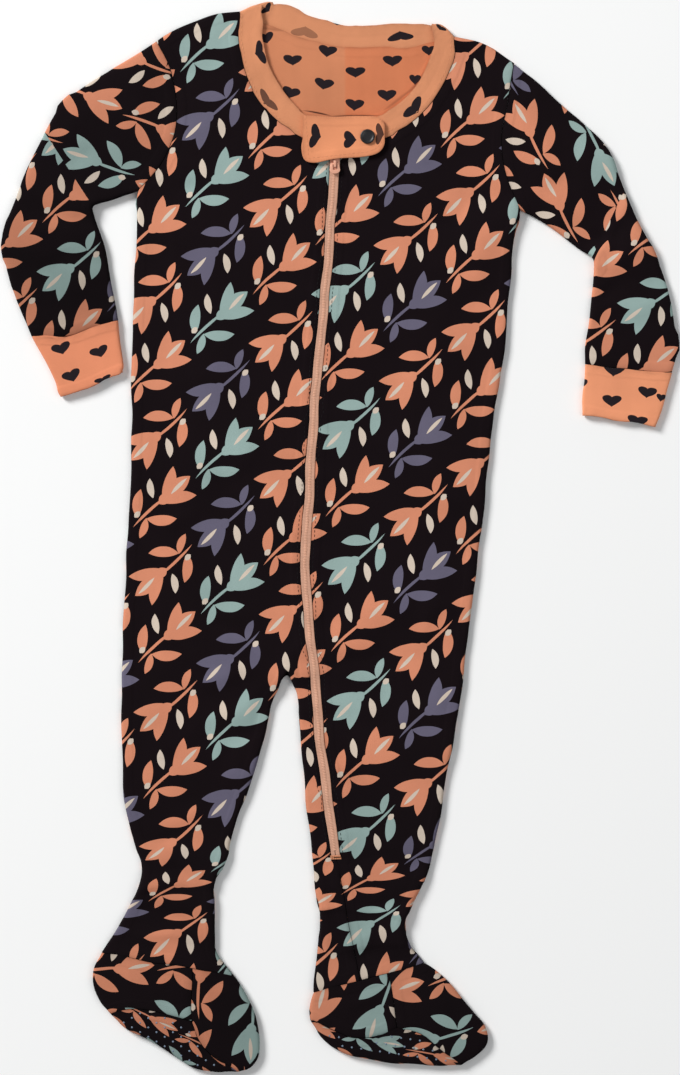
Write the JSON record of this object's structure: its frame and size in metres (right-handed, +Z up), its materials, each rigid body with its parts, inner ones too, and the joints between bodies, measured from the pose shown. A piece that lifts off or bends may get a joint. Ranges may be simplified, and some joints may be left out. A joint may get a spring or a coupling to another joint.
{
  "type": "onesie pajama",
  "caption": "Footed baby one-piece with long sleeves, a zip from neck to ankle, a snap guard at the neck, doubled cuffs and a sewn neckband, laid flat and face up.",
  "frame": {"origin": "the middle of the garment seen from above, on the surface that it lies on", "axes": "+Z up from that surface, +Y from the feet to the neck, +X to the wearer's left as the garment lies face up"},
  "size_m": [0.4448, 0.7024, 0.0089],
  "materials": {
    "print_jersey": "soft cotton jersey, near black, printed in coral, slate, aqua and cream",
    "heart_jersey": "soft cotton jersey, coral, printed with small near-black hearts",
    "zip_tape": "coral polyester tape with a fine hidden coil",
    "zip_metal": "coral paint, satin",
    "snap": "near-black, glossy"
  },
  "bodies": {
    "garment": {"front_right": "print_jersey", "front_left": "print_jersey", "back": "print_jersey", "sleeve_right": "print_jersey", "sleeve_left": "print_jersey", "cuff_right": "heart_jersey", "cuff_left": "heart_jersey", "neckband": "heart_jersey", "back_neck_facing": "heart_jersey", "zip_guard": "heart_jersey", "zip_tape_right": "zip_tape", "zip_tape_left": "zip_tape", "slider": "zip_metal", "snap_cap": "snap", "heel_right": "print_jersey", "vamp_right": "print_jersey", "sole_right": "print_jersey", "heel_left": "print_jersey", "vamp_left": "print_jersey", "sole_left": "print_jersey"},
    "pull": {"pull": "zip_metal"}
  },
  "joints": [
    {"name": "pull_swing", "type": "hinge", "parent": "garment", "child": "pull", "pos_m": [-0.00324, 0.24416, 0.0067], "axis": [-1, 0, 0], "range_deg": [0, 120]}
  ]
}
